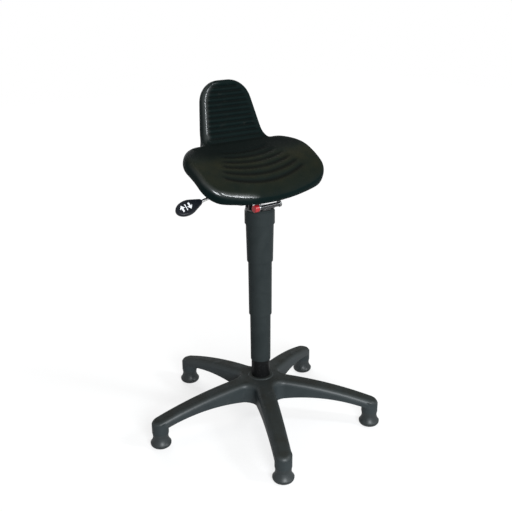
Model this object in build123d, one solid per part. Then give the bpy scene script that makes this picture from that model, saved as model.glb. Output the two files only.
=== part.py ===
from build123d import *
from math import asin, cos, pi, radians, sin, tan
import os

# Sit-stand stool: five-arm base on glides, gas column under telescoping sleeves, sprung tilting seat.
# Millimetres and degrees. The origin is on the floor under the column, the sitter faces -Y, and +Z is up.

# Fits
slip_gap = 0.05
press_gap = 0.02
free_gap = 0.4

# Five-arm base
arm_count = 5
base_turn = 28.3
glide_circle_radius = 300.0
hub_radius = 37.0
hub_bottom_height = 60.0
hub_top_height = 134.0
hub_chamfer = 5.0
arm_root_half_width = 26.0
arm_tip_radius = 22.0
arm_root_height = 133.0
arm_tip_height = 74.0
arm_crown = 14.5
arch_root_height = 56.5
arch_rise = 34.0
arch_tip_height = 37.0
arm_edge_radius = 15.0
arm_wall = 5.0
arm_roof = 8.0
arm_rib = 3.0
arm_rib_pitch = 48.0
web_radius = 26.0
socket_bottom_height = 40.0
socket_boss_radius = 11.0
hub_ring_width = 4.0
hub_ring_height = 14.0

# Glides
glide_sole_radius = 20.0
glide_flange_radius = 27.5
glide_flange_height = 9.0
glide_neck_radius = 20.3
glide_neck_height = 29.0
glide_rim = 3.0
stem_radius = 5.5
stem_in_glide = 30.0
stem_in_arm = 26.0

# Gas column
column_taper = 0.72
tube_radius = 25.0
tube_bore_radius = 21.5
tube_bottom_height = 54.0
tube_floor = 4.0
tube_top_height = 362.0
bush_length = 85.0
bush_flange = 3.0
cylinder_radius = 14.0
cylinder_wall = 1.5
cylinder_engagement = 80.0
cylinder_lip = 1.5
rod_radius = 5.0
rod_tail = 6.0
rod_shoulder_radius = 8.0
rod_shoulder = 3.0
seal_length = 13.0
piston_length = 14.0
piston_stand_off = 8.0
piston_ring_width = 3.0
piston_ring_depth = 1.6
race_outer_radius = 13.0
race_thickness = 1.5
ball_radius = 2.4
ball_count = 8
ball_circle_radius = 9.6
cage_thickness = 1.6
buffer_radius = 13.0
buffer_height = 10.0
clip_radius = 9.0
clip_thickness = 1.5
valve_length = 34.0
release_pin_radius = 3.0
release_pin_length = 38.0
release_pin_reach = 10.0
release_travel = 4.0

# Telescoping sleeves
cover_wall = 1.3
cover_lip = 2.0
cover_hang_gap = 0.5
cover_flange = 1.1
lower_cover_bottom = 183.0
lower_cover_bottom_radius = 26.9
lower_cover_top_radius = 27.6
middle_cover_bottom = 317.0
middle_cover_bottom_radius = 30.4
middle_cover_top_radius = 31.2
upper_cover_bottom = 467.0
upper_cover_bottom_radius = 34.1
upper_cover_top_radius = 36.6
collar_bottom = 570.0
collar_top = 608.0
collar_radius = 39.0
collar_chamfer = 5.0
collar_roof = 3.0
collar_seat = 19.0

# Carrier under the seat
socket_radius = 18.0
socket_length = 29.0
socket_top = 613.0
bracket_plate = 4.0
bracket_lever_side = 40.0
bracket_far_side = 24.0
bracket_front = 32.0
bracket_rear = 20.0
bracket_corner = 17.0
gusset_offset = 18.0
gusset_thickness = 4.0
pivot_forward = 40.0
pivot_height = 622.5
pivot_tube_radius = 6.0
pivot_tube_wall = 1.0
pivot_tube_half_length = 31.0
pivot_shaft_radius = 3.2
pivot_rubber_length = 26.0
pivot_rubber_inset = 1.0
pivot_washer = 1.0
pivot_washer_radius = 7.5
pivot_clip = 1.5
pivot_clip_radius = 6.0
pivot_cap_radius = 9.5
pivot_cap_length = 12.0
pivot_cap_wall = 4.0

# Seat
seat_slope = 22.0
seat_rise = 7.5
seat_under = 42.5
seat_thickness = 38.5
seat_dish = 12.0
seat_front_half_width = 185.0
seat_rear_half_width = 189.0
seat_front = 20.5
seat_front_bow = 27.0
seat_front_corner = 58.0
seat_rear = 182.0
seat_rear_corner = 74.0
seat_flat_front = 100.0
seat_flat_rear = 150.0
nose_radius = 197.0
nose_sweep = 40.0
back_lean = 18.0
back_bend_radius = 62.0
back_length = 126.0
back_root_half_width = 88.0
back_top_half_width = 67.0
back_top_thickness = 27.0
back_shoulder_radius = 60.0
back_flare = 32.0
pan_rim_radius = 12.0
back_rim_radius = 5.0
groove_depth = 3.0
groove_width = 6.0
seat_groove_count = 6
seat_groove_pitch = 23.0
seat_groove_first = 23.0
seat_groove_front_half = 122.0
seat_groove_rear_half = 70.0
seat_groove_bow = 330.0
back_groove_count = 12
back_groove_pitch = 13.0
back_groove_first = -34.0
back_groove_margin = 13.0
boss_under = 20.0
boss_overlap = 4.0
boss_front = 24.0
boss_rear = 146.0
boss_half_width = 88.0
boss_corner = 14.0

# Seat fixing
plate_thickness = 3.0
plate_half_width = 60.0
plate_front = 14.0
plate_rear = 118.0
plate_corner = 12.0
ear_thickness = 3.0
ear_radius = 7.5
ear_root_rear = 44.0
insert_thickness = 9.0
insert_half_width = 76.0
insert_front = 32.0
insert_rear = 136.0
insert_corner = 16.0
screw_radius = 3.0
screw_head_radius = 6.0
screw_head = 4.0
screw_half_spread = 48.0
screw_front = 44.0
screw_rear = 104.0
insert_nut_radius = 4.5

# Height lever
lever_rod_radius = 4.5
lever_pivot_offset = 33.0
lever_inner_end = 6.0
lever_gap = 0.3
lever_straight_end = 60.0
lever_knee_out = 118.0
lever_knee_back = 24.0
lever_knee_rise = 29.2
lever_tip_out = 195.0
lever_tip_back = 32.0
lever_tip_rise = 7.5
lever_bend_radius = 24.0
fork_cheek = 3.0
fork_length = 12.0
fork_rise = 7.0
lever_pin_radius = 2.0
lever_pin_end = 1.0
paddle_root_radius = 8.0
paddle_root = -34.0
paddle_middle = 1.0
paddle_half_length = 29.5
paddle_half_width = 19.8
paddle_thickness = 13.0
paddle_edge = 4.5
paddle_roll = -45.0


def arm_angle(index):
    return base_turn + 360.0 / arm_count * index


def turned(*points):
    """A solid turned about the column from (radius, height) points."""
    return revolve(Plane.XZ * make_face(Polyline(*points, close=True)), Axis.Z)


def ring(inner, outer, bottom, top):
    return turned((inner, bottom), (outer, bottom), (outer, top), (inner, top))


def on_pivot(shape):
    """Lay a shape that was drawn along Z along the tilt pivot."""
    return Pos(0, -pivot_forward, pivot_height) * Rot(0, 90, 0) * shape


def on_seat(shape):
    """Place a shape drawn with Y up the seat's slope and Z square to it, from just over the tilt pivot."""
    return Pos(0, -pivot_forward, pivot_height + seat_rise) * Rot(seat_slope, 0, 0) * shape


# Star base

def taper_radius(height):
    """Radius of the column's press taper, which narrows downwards from the hub's top."""
    return tube_radius - max(0.0, hub_top_height - height) * tan(radians(column_taper))


def star_outline(inset):
    half_root = arm_root_half_width - inset
    tip = arm_tip_radius - inset
    reach = glide_circle_radius
    arm = make_face(Polyline((0, -half_root), (reach, -tip), (reach, tip), (0, half_root), close=True))
    arm += Pos(reach, 0) * Circle(tip)
    star = Circle(hub_radius - inset)
    for index in range(arm_count):
        star += Rot(0, 0, arm_angle(index)) * arm
    inner_corners = [v for v in star.vertices() if (v.X**2 + v.Y**2) ** 0.5 < reach / 2]
    return fillet(inner_corners, web_radius + inset)


def under_crest(drop, floor):
    """Everything under the arms' crest line, lowered by drop, turned about the column."""
    reach = glide_circle_radius + 2 * arm_tip_radius
    slope = (arm_tip_height - arm_root_height) / glide_circle_radius
    end_height = arm_root_height + slope * reach
    middle = (arm_root_height + end_height) / 2 + arm_crown
    crest = ThreePointArc(
        (0, arm_root_height - drop), (reach / 2, middle - drop), (reach, end_height - drop)
    )
    sides = Polyline(crest @ 1, (reach, floor), (0, floor), crest @ 0)
    return revolve(Plane.XZ * make_face([crest, *sides.edges()]), Axis.Z)


def under_arch():
    """The space under the arched arms, turned about the column."""
    reach = glide_circle_radius + 2 * arm_tip_radius
    middle = (arch_root_height + arch_tip_height) / 2 + arch_rise
    arch = ThreePointArc((0, arch_root_height), (reach / 2, middle), (reach, arch_tip_height))
    sides = Polyline(arch @ 1, (reach, 0), (0, 0), arch @ 0)
    return revolve(Plane.XZ * make_face([arch, *sides.edges()]), Axis.Z)


def arm_ribs():
    """Stiffening ribs left standing across the hollow of every arm."""
    rib_count = int((glide_circle_radius - hub_radius - arm_tip_radius) / arm_rib_pitch)
    cross = Box(
        arm_rib, 2 * arm_root_half_width, arm_root_height, align=(Align.CENTER, Align.CENTER, Align.MIN)
    )
    ribs = []
    for index in range(arm_count):
        for step in range(1, rib_count + 1):
            ribs.append(Rot(0, 0, arm_angle(index)) * Pos(hub_radius + step * arm_rib_pitch, 0) * cross)
    return ribs


def glide_places():
    return [Rot(0, 0, arm_angle(index)) * Pos(glide_circle_radius, 0) for index in range(arm_count)]


def make_star_base():
    shell_top = under_crest(0, 0)
    blank = extrude(star_outline(0), arm_root_height + hub_top_height)
    shell = blank & shell_top
    top_edges = new_edges(blank, shell_top, combined=shell)
    shell = fillet(top_edges, arm_edge_radius)
    cavity = extrude(star_outline(arm_wall), arm_root_height + hub_top_height) & under_crest(arm_roof, 0)
    cavity -= Cylinder(hub_radius, 2 * hub_top_height)
    cavity -= arm_ribs()
    for place in glide_places():
        cavity -= place * Cylinder(socket_boss_radius, 2 * hub_top_height)
    base = shell - under_arch() - cavity
    hub = ring(0, hub_radius, hub_bottom_height, hub_top_height)
    hub = chamfer(hub.edges().group_by(Axis.Z)[-1], hub_chamfer)
    base += hub
    crest_at_socket = under_crest(arm_roof, socket_bottom_height)
    for place in glide_places():
        socket = place * Pos(0, 0, socket_bottom_height) * Cylinder(
            arm_tip_radius, arm_tip_height, align=(Align.CENTER, Align.CENTER, Align.MIN)
        )
        base += socket & crest_at_socket
    base -= turned(
        (0, 0),
        (taper_radius(0), 0),
        (taper_radius(hub_top_height), hub_top_height),
        (taper_radius(hub_top_height), 2 * hub_top_height),
        (0, 2 * hub_top_height),
    )
    ring_radius = taper_radius(hub_bottom_height) + arm_wall
    base -= ring(
        ring_radius, ring_radius + hub_ring_width, 0, hub_bottom_height + hub_ring_height
    )
    stem_hole = Pos(0, 0, socket_bottom_height) * Cylinder(
        stem_radius + slip_gap, stem_in_arm, align=(Align.CENTER, Align.CENTER, Align.MIN)
    )
    for place in glide_places():
        base -= place * stem_hole
    return base


def make_hub_ring():
    inner = taper_radius(hub_bottom_height) + arm_wall
    bottom = hub_bottom_height
    return ring(
        inner + press_gap, inner + hub_ring_width - press_gap, bottom, bottom + hub_ring_height - press_gap
    )


def make_glide():
    flare = (glide_neck_radius + glide_flange_radius) / 2 - glide_rim / 2
    waist = (glide_neck_height + glide_flange_height + glide_rim) / 2
    outline = [
        Line((0, 0), (glide_sole_radius, 0)),
        ThreePointArc(
            (glide_sole_radius, 0),
            ((glide_sole_radius + glide_flange_radius) / 2 + 1, glide_flange_height / 3),
            (glide_flange_radius, glide_flange_height),
        ),
        Line(
            (glide_flange_radius, glide_flange_height),
            (glide_flange_radius, glide_flange_height + glide_rim),
        ),
        ThreePointArc(
            (glide_flange_radius, glide_flange_height + glide_rim),
            (flare, waist),
            (glide_neck_radius, glide_neck_height),
        ),
        Polyline(
            (glide_neck_radius, glide_neck_height),
            (arm_tip_radius - 1, socket_bottom_height - glide_rim),
            (arm_tip_radius - 1, socket_bottom_height),
            (0, socket_bottom_height),
            (0, 0),
        ),
    ]
    edges = [edge for part in outline for edge in part.edges()]
    body = revolve(Plane.XZ * make_face(edges), Axis.Z)
    hole = Pos(0, 0, socket_bottom_height) * Cylinder(
        stem_radius + press_gap, stem_in_glide, align=(Align.CENTER, Align.CENTER, Align.MAX)
    )
    return body - hole


def make_glide_stem():
    low = socket_bottom_height - stem_in_glide
    return ring(0, stem_radius, low, socket_bottom_height + stem_in_arm)


# Gas column

cylinder_bottom = tube_top_height - cylinder_engagement
socket_bottom = socket_top - socket_length
floor_top = tube_bottom_height + tube_floor
lower_race_top = floor_top + race_thickness
ball_height = lower_race_top + ball_radius
upper_race_bottom = ball_height + ball_radius + slip_gap
shoulder_bottom = upper_race_bottom + race_thickness
piston_bottom = cylinder_bottom + cylinder_lip + seal_length + piston_stand_off
piston_radius = cylinder_radius - cylinder_wall - slip_gap


def socket_taper(height):
    """Radius of the cylinder's upper taper, which narrows upwards into the carrier's socket."""
    return cylinder_radius - max(0.0, height - socket_bottom) * tan(radians(column_taper))


def make_column_tube():
    return turned(
        (rod_radius + free_gap, tube_bottom_height),
        (taper_radius(tube_bottom_height), tube_bottom_height),
        (taper_radius(hub_top_height), hub_top_height),
        (tube_radius, tube_top_height),
        (tube_bore_radius, tube_top_height),
        (tube_bore_radius, floor_top),
        (rod_radius + free_gap, floor_top),
    )


def make_guide_bush():
    inner = cylinder_radius + slip_gap
    outer = tube_bore_radius - press_gap
    return turned(
        (inner, tube_top_height - bush_length),
        (outer, tube_top_height - bush_length),
        (outer, tube_top_height),
        (tube_radius, tube_top_height),
        (tube_radius, tube_top_height + bush_flange),
        (inner, tube_top_height + bush_flange),
    )


def make_lower_race():
    return ring(rod_radius + free_gap, race_outer_radius, floor_top, lower_race_top)


def make_upper_race():
    return ring(rod_radius + press_gap, race_outer_radius, upper_race_bottom, shoulder_bottom)


def make_ball_cage():
    cage = ring(
        rod_radius + 2 * free_gap,
        race_outer_radius - free_gap,
        ball_height - cage_thickness / 2,
        ball_height + cage_thickness / 2,
    )
    pocket = Cylinder(ball_radius + slip_gap, 2 * ball_radius)
    for place in PolarLocations(ball_circle_radius, ball_count):
        cage -= Pos(0, 0, ball_height) * place * pocket
    return cage


def make_bearing_balls():
    return [
        Pos(0, 0, ball_height) * place * Sphere(ball_radius - press_gap)
        for place in PolarLocations(ball_circle_radius, ball_count)
    ]


def make_piston_rod():
    bottom = tube_bottom_height - rod_tail
    top = piston_bottom + piston_length
    return turned(
        (0, bottom),
        (rod_radius, bottom),
        (rod_radius, shoulder_bottom),
        (rod_shoulder_radius, shoulder_bottom),
        (rod_shoulder_radius, shoulder_bottom + rod_shoulder),
        (rod_radius, shoulder_bottom + rod_shoulder),
        (rod_radius, top),
        (0, top),
    )


def make_bump_buffer():
    bottom = shoulder_bottom + rod_shoulder
    return ring(rod_radius + press_gap, buffer_radius, bottom, bottom + buffer_height)


def make_rod_washer():
    top = tube_bottom_height - slip_gap
    return ring(rod_radius + press_gap, clip_radius, top - clip_thickness, top)


def make_rod_clip():
    top = tube_bottom_height - slip_gap - clip_thickness
    return ring(rod_radius + press_gap, clip_radius - clip_thickness, top - clip_thickness, top)


def make_rod_seal():
    bottom = cylinder_bottom + cylinder_lip
    outer = cylinder_radius - cylinder_wall - press_gap
    return ring(rod_radius + slip_gap, outer, bottom, bottom + seal_length)


def make_piston():
    groove_bottom = piston_bottom + (piston_length - piston_ring_width) / 2
    groove_top = groove_bottom + piston_ring_width
    bore = rod_radius + press_gap
    return turned(
        (bore, piston_bottom),
        (piston_radius, piston_bottom),
        (piston_radius, groove_bottom),
        (piston_radius - piston_ring_depth, groove_bottom),
        (piston_radius - piston_ring_depth, groove_top),
        (piston_radius, groove_top),
        (piston_radius, piston_bottom + piston_length),
        (bore, piston_bottom + piston_length),
    )


def make_piston_ring():
    middle = piston_bottom + piston_length / 2
    half = piston_ring_width / 2 - press_gap
    return ring(piston_radius - piston_ring_depth + press_gap, piston_radius, middle - half, middle + half)


def make_gas_cylinder():
    bore = cylinder_radius - cylinder_wall
    top = socket_top - free_gap
    return turned(
        (rod_radius + 2, cylinder_bottom),
        (cylinder_radius, cylinder_bottom),
        (cylinder_radius, socket_bottom),
        (socket_taper(top), top),
        (bore - 1, top),
        (bore - 1, top - cylinder_wall),
        (bore, top - cylinder_wall),
        (bore, cylinder_bottom + cylinder_lip),
        (rod_radius + 2, cylinder_bottom + cylinder_lip),
    )


def make_valve_body():
    top = socket_top - free_gap - cylinder_wall
    pin_bore = release_pin_radius + slip_gap
    pin_floor = release_pin_bottom() - release_travel - free_gap
    outer = cylinder_radius - cylinder_wall - press_gap
    return turned(
        (0, top - valve_length),
        (outer, top - valve_length),
        (outer, top),
        (pin_bore, top),
        (pin_bore, pin_floor),
        (0, pin_floor),
    )


def release_pin_top():
    return socket_top + release_pin_reach


def release_pin_bottom():
    return release_pin_top() - release_pin_length


# Telescoping sleeves

def make_cover(bottom, bottom_radius, top, top_radius, lip_radius):
    """A tapered sleeve with an inward lip at its foot and an outward flange at its head."""
    return turned(
        (lip_radius, bottom),
        (bottom_radius, bottom),
        (top_radius, top - cover_lip),
        (top_radius + cover_flange, top - cover_lip),
        (top_radius + cover_flange, top),
        (top_radius - cover_wall, top),
        (bottom_radius - cover_wall, bottom + cover_lip),
        (lip_radius, bottom + cover_lip),
    )


def hanging_top(outer_bottom):
    """Head height of a sleeve whose flange hangs just over the lip of the next sleeve out."""
    return outer_bottom + cover_lip + cover_hang_gap + cover_lip


def make_cover_lower():
    return make_cover(
        lower_cover_bottom,
        lower_cover_bottom_radius,
        hanging_top(middle_cover_bottom),
        lower_cover_top_radius,
        tube_radius + free_gap,
    )


def make_cover_middle():
    return make_cover(
        middle_cover_bottom,
        middle_cover_bottom_radius,
        hanging_top(upper_cover_bottom),
        middle_cover_top_radius,
        lower_cover_top_radius + free_gap,
    )


def make_cover_upper():
    return make_cover(
        upper_cover_bottom,
        upper_cover_bottom_radius,
        collar_bottom + collar_seat,
        upper_cover_top_radius,
        middle_cover_top_radius + free_gap,
    )


def make_cover_collar():
    bore = upper_cover_top_radius + cover_flange + press_gap
    seat = collar_bottom + collar_seat
    return turned(
        (bore, collar_bottom),
        (collar_radius, collar_bottom),
        (collar_radius, collar_top - collar_chamfer),
        (collar_radius - collar_chamfer, collar_top),
        (socket_radius + press_gap, collar_top),
        (socket_radius + press_gap, collar_top - collar_roof),
        (bore - 2 * cover_wall, collar_top - collar_roof),
        (bore - 2 * cover_wall, seat),
        (bore, seat),
    )


# Carrier under the seat

def make_taper_socket():
    return turned(
        (socket_taper(socket_bottom), socket_bottom),
        (socket_radius, socket_bottom),
        (socket_radius, socket_top),
        (socket_taper(socket_top), socket_top),
    )


def make_tilt_bracket():
    bottom = socket_top - bracket_plate
    middle = ((bracket_far_side - bracket_lever_side) / 2, (bracket_rear - bracket_front) / 2)
    plate = Pos(*middle, bottom) * Box(
        bracket_lever_side + bracket_far_side,
        bracket_front + bracket_rear,
        bracket_plate,
        align=(Align.CENTER, Align.CENTER, Align.MIN),
    )
    bracket = fillet(plate.edges().filter_by(Axis.Z), bracket_corner)
    gusset = Plane.YZ * make_face(
        Polyline(
            (-socket_radius / 2, socket_top),
            (-pivot_forward, pivot_height),
            (-pivot_forward - pivot_tube_radius, pivot_height),
            (-bracket_front, bottom),
            (-socket_radius / 2, bottom),
            close=True,
        )
    )
    for side in (-1, 1):
        bracket += Pos(side * gusset_offset, 0, 0) * extrude(gusset, gusset_thickness / 2, both=True)
    bracket -= Cylinder(socket_radius + press_gap, 2 * socket_top)
    bracket -= on_pivot(Cylinder(pivot_tube_radius + press_gap, 4 * pivot_tube_half_length))
    return bracket


def make_lever_fork():
    """Two welded cheeks that carry the lever's pivot pin."""
    height = lever_axis_height() + fork_rise - socket_top
    cheek = Box(fork_length, fork_cheek, height, align=(Align.CENTER, Align.CENTER, Align.MIN))
    bridge = Box(
        fork_length,
        2 * (lever_rod_radius + free_gap + fork_cheek),
        fork_cheek,
        align=(Align.CENTER, Align.CENTER, Align.MIN),
    )
    fork = Pos(-lever_pivot_offset, 0, socket_top) * bridge
    for side in (-1, 1):
        offset = side * (lever_rod_radius + free_gap + fork_cheek / 2)
        fork += Pos(-lever_pivot_offset, offset, socket_top) * cheek
    pin_hole = Pos(-lever_pivot_offset, 0, lever_axis_height()) * Rot(90, 0, 0) * Cylinder(
        lever_pin_radius + press_gap, 4 * lever_pin_half()
    )
    return fork - pin_hole


def lever_pin_half():
    return lever_rod_radius + free_gap + fork_cheek + lever_pin_end


def make_lever_pin():
    return Pos(-lever_pivot_offset, 0, lever_axis_height()) * Rot(90, 0, 0) * Cylinder(
        lever_pin_radius, 2 * lever_pin_half()
    )


def lever_axis_height():
    return release_pin_top() + lever_gap + lever_rod_radius


def ear_inner():
    return pivot_tube_half_length + pivot_washer + 2 * slip_gap


def make_pivot_tube():
    tube = Cylinder(pivot_tube_radius, 2 * pivot_tube_half_length)
    return on_pivot(tube - Cylinder(pivot_tube_radius - pivot_tube_wall, 3 * pivot_tube_half_length))


def make_pivot_rubbers():
    sleeve = Cylinder(pivot_tube_radius - pivot_tube_wall - press_gap, pivot_rubber_length)
    sleeve -= Cylinder(pivot_shaft_radius + slip_gap, 2 * pivot_rubber_length)
    offset = pivot_tube_half_length - pivot_rubber_inset - pivot_rubber_length / 2
    return [on_pivot(Pos(0, 0, side * offset) * sleeve) for side in (-1, 1)]


def make_pivot_washers():
    washer = Cylinder(pivot_washer_radius, pivot_washer)
    washer -= Cylinder(pivot_shaft_radius + slip_gap, 2 * pivot_washer)
    offset = pivot_tube_half_length + slip_gap + pivot_washer / 2
    return [on_pivot(Pos(0, 0, side * offset) * washer) for side in (-1, 1)]


def make_pivot_shaft():
    """Shaft through both ears. Its capped end is on the sitter's right, its clipped end on the left."""
    ear_outer = ear_inner() + ear_thickness
    capped_end = ear_outer + pivot_cap_length - pivot_cap_wall
    clipped_end = ear_outer + 2 * pivot_clip
    shaft = Cylinder(pivot_shaft_radius, clipped_end + capped_end)
    return on_pivot(Pos(0, 0, (clipped_end - capped_end) / 2) * shaft)


def make_pivot_clip():
    clip = Cylinder(pivot_clip_radius, pivot_clip) - Cylinder(pivot_shaft_radius + press_gap, 2 * pivot_clip)
    return on_pivot(Pos(0, 0, ear_inner() + ear_thickness + slip_gap + pivot_clip / 2) * clip)


def make_pivot_cap():
    cap = Cylinder(pivot_cap_radius, pivot_cap_length)
    cap = fillet(cap.edges().group_by(Axis.Z)[0], pivot_cap_wall / 2)
    cap -= Pos(0, 0, pivot_cap_wall) * Cylinder(pivot_shaft_radius + press_gap, pivot_cap_length)
    return on_pivot(Pos(0, 0, -ear_inner() - ear_thickness - slip_gap - pivot_cap_length / 2) * cap)


# Seat

bend_angle = 90.0 - back_lean - seat_slope
seat_top = seat_under + seat_thickness
bend_centre = (seat_flat_rear, seat_top + back_bend_radius)
nose_centre = (seat_flat_front, seat_under - nose_radius)


def polar(centre, radius, angle):
    return (centre[0] + radius * cos(radians(angle)), centre[1] + radius * sin(radians(angle)))


def seat_section(sink):
    """Cross-section of the moulding above its underside, its dished face lowered by sink."""
    reach = 1.05
    half = reach * seat_front_half_width
    edge = seat_thickness + seat_dish * (reach**2 - 1) - sink
    face = ThreePointArc((-half, edge), (0, seat_thickness - seat_dish - sink), (half, edge))
    sides = Polyline((half, edge), (half, 0), (-half, 0), (-half, edge))
    return Plane.XZ * Pos(0, seat_under) * make_face([face.edge(), *sides.edges()])


def up_the_back(shape):
    """Turn a shape drawn on the flat of the pan round the bend, onto the back."""
    return Pos(0, *bend_centre) * Rot(bend_angle, 0, 0) * Pos(0, -bend_centre[0], -bend_centre[1]) * shape


def seat_sheet(sink):
    """The dished sheet that the seat and back are cut from: curled nose, flat pan, bend and leaning back."""
    reach = back_length + seat_thickness
    section = seat_section(sink)
    front = Pos(0, seat_flat_front, 0) * section
    rear = Pos(0, seat_flat_rear, 0) * section
    sheet = extrude(front, seat_flat_front - seat_flat_rear)
    sheet += revolve(front, Axis((0, *nose_centre), (1, 0, 0)), nose_sweep)
    sheet += revolve(rear, Axis((0, *bend_centre), (1, 0, 0)), bend_angle)
    back = extrude(rear, -reach)
    thinned = (seat_flat_rear + reach, seat_under + seat_thickness - back_top_thickness)
    wedge = make_face(
        Polyline((seat_flat_rear, seat_under), thinned, (thinned[0], seat_under), close=True)
    )
    back -= extrude(Plane.YZ * wedge, 2 * seat_front_half_width, both=True)
    return sheet + up_the_back(back)


def seat_outline():
    """Plan of the pan, square to its slope: a bowed front edge, tapering sides and rounded corners."""
    bow_end = seat_front_bow - seat_front
    front_left = (-seat_front_half_width, bow_end)
    front_right = (seat_front_half_width, bow_end)
    rear_right = (seat_rear_half_width, seat_rear)
    rear_left = (-seat_rear_half_width, seat_rear)
    bow = ThreePointArc(front_left, (0, -seat_front), front_right)
    sides = Polyline(front_right, rear_right, rear_left, front_left)
    pan = make_face([bow.edge(), *sides.edges()])
    pan = fillet([v for v in pan.vertices() if v.Y < seat_rear / 2], seat_front_corner)
    return fillet([v for v in pan.vertices() if abs(v.Y - seat_rear) < 1e-6], seat_rear_corner)


def on_back(shape):
    """Lay a drawing on the back's face: X across, Y up the back from the bend, Z towards the sitter."""
    root = polar(bend_centre, back_bend_radius, bend_angle - 90)
    return Pos(0, root[0], root[1]) * Rot(bend_angle, 0, 0) * shape


def back_half_width(height):
    return back_root_half_width + (back_top_half_width - back_root_half_width) * height / back_length


def back_reach(height):
    """Half width of the back inside its rounded shoulders."""
    over = max(0.0, height - back_length + back_shoulder_radius)
    return back_half_width(height) - back_shoulder_radius + (back_shoulder_radius**2 - over**2) ** 0.5


def back_outline():
    """Front view of the back: flared foot, tapering sides and a rounded head."""
    neck = -back_bend_radius * radians(bend_angle) / 2
    foot = 4 * neck
    spread = back_flare * (neck - foot) / seat_thickness
    back = make_face(
        Polyline(
            (-back_half_width(neck) - spread, foot),
            (back_half_width(neck) + spread, foot),
            (back_half_width(neck), neck),
            (back_top_half_width, back_length),
            (-back_top_half_width, back_length),
            (-back_half_width(neck), neck),
            close=True,
        )
    )
    back = fillet([v for v in back.vertices() if abs(v.Y - back_length) < 1e-6], back_shoulder_radius)
    return fillet([v for v in back.vertices() if abs(v.Y - neck) < 1e-6], 2 * back_flare)


def seat_grooves():
    """Strips across the pan, bowed towards the front and spreading to the front."""
    strips = []
    for index in range(seat_groove_count):
        place = seat_groove_first + seat_groove_pitch * index
        share = index / (seat_groove_count - 1)
        half = seat_groove_front_half + (seat_groove_rear_half - seat_groove_front_half) * share
        sweep = 2 * asin(half / seat_groove_bow) * 180 / pi
        line = CenterArc((0, place + seat_groove_bow), seat_groove_bow, 270 - sweep / 2, sweep)
        strips.append(extrude(trace(line, groove_width), 3 * seat_thickness))
    return strips


def back_grooves():
    """Strips across the bend and the back, a margin short of its edges."""
    strips = []
    for index in range(back_groove_count):
        place = back_groove_first + back_groove_pitch * index
        half = back_reach(place) - back_groove_margin
        line = Line((-half, place), (half, place))
        strips.append(on_back(extrude(trace(line, groove_width), 2 * seat_thickness, both=True)))
    return strips


def rounded(sheet, cutter, radius):
    """What a straight cutter leaves of the sheet, with its free edges rounded."""
    piece = sheet & cutter
    rim = [
        edge
        for edge in new_edges(sheet, cutter, combined=piece)
        if abs(edge.center().X) > 1 or edge.center().Y < 0 or edge.center().Z > seat_top + seat_dish
    ]
    return fillet(rim, radius)


def seat_block(half_width, front, rear, bottom, height, corner):
    """A flat block under the pan with rounded corners in plan."""
    block = Pos(0, (front + rear) / 2, bottom) * Box(
        2 * half_width, rear - front, height, align=(Align.CENTER, Align.CENTER, Align.MIN)
    )
    return fillet(block.edges().filter_by(Axis.Z), corner)


def screw_places():
    return [
        Pos(side * screw_half_spread, place, boss_under)
        for side in (-1, 1)
        for place in (screw_front, screw_rear)
    ]


def upright(radius, bottom, top):
    """A plain pin or hole along Z."""
    return Pos(0, 0, bottom) * Cylinder(radius, top - bottom, align=(Align.CENTER, Align.CENTER, Align.MIN))


def make_seat_pad():
    sheet = seat_sheet(0)
    pan_height = 2 * nose_radius + seat_top + 2 * seat_dish
    pan_cutter = Pos(0, 0, -2 * nose_radius) * extrude(seat_outline(), pan_height)
    back_cutter = on_back(extrude(back_outline(), 2 * seat_thickness, both=True))
    pad = rounded(sheet, pan_cutter, pan_rim_radius) + rounded(sheet, back_cutter, back_rim_radius)
    core = seat_sheet(groove_depth)
    for strip in seat_grooves() + back_grooves():
        pad -= strip - core
    boss_height = seat_under + boss_overlap - boss_under
    pad += seat_block(boss_half_width, boss_front, boss_rear, boss_under, boss_height, boss_corner)
    pad -= seat_block(
        insert_half_width, insert_front, insert_rear, boss_under, insert_thickness, insert_corner
    )
    clearance = upright(insert_nut_radius + free_gap, 0, insert_thickness + screw_head)
    for place in screw_places():
        pad -= place * clearance
    return on_seat(pad)


# Seat fixing

def make_seat_insert():
    board = seat_block(
        insert_half_width - press_gap,
        insert_front + press_gap,
        insert_rear - press_gap,
        boss_under,
        insert_thickness - press_gap,
        insert_corner,
    )
    for place in screw_places():
        board -= place * upright(insert_nut_radius + press_gap, -1, 2 * insert_thickness)
    return on_seat(board)


def make_insert_nuts():
    nut = upright(insert_nut_radius, 0, insert_thickness)
    nut -= upright(screw_radius + slip_gap, -1, 2 * insert_thickness)
    return [on_seat(place * nut) for place in screw_places()]


def make_seat_screws():
    length = insert_thickness + screw_head / 2
    head = upright(screw_head_radius, -plate_thickness - screw_head, -plate_thickness)
    head = fillet(head.edges().group_by(Axis.Z)[0], screw_head / 3)
    recess = extrude(RegularPolygon(screw_radius, 6), screw_head / 2)
    head -= Pos(0, 0, -plate_thickness - screw_head) * recess
    screw = head + upright(screw_radius, -plate_thickness, length)
    return [on_seat(place * screw) for place in screw_places()]


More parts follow.
